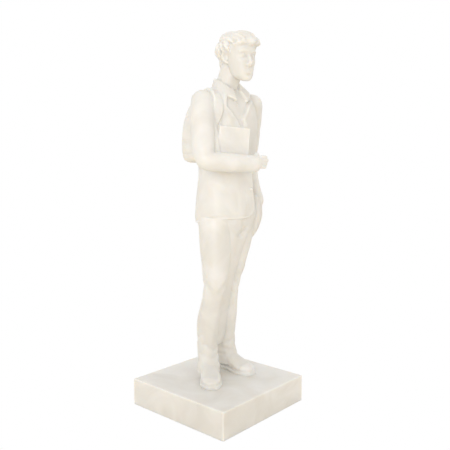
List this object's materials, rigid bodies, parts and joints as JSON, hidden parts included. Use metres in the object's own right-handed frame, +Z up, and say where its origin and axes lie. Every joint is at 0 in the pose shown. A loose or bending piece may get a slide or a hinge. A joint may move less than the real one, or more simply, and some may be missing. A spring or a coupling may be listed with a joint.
{
  "type": "alabaster saint statuette",
  "caption": "Pale alabaster statuette of a standing figure with a book held to the chest and a rucksack on its back, made in one with a square plinth.",
  "frame": {"origin": "centre of the plinth's underside", "axes": "+Z up, -Y the way the plinth's front and the figure's head and feet broadly face, +X the figure's left"},
  "size_m": [0.0642, 0.064, 0.1959],
  "materials": {
    "alabaster": "warm white, translucent, softly polished"
  },
  "bodies": {
    "root": {"statuette": "alabaster"}
  },
  "joints": []
}
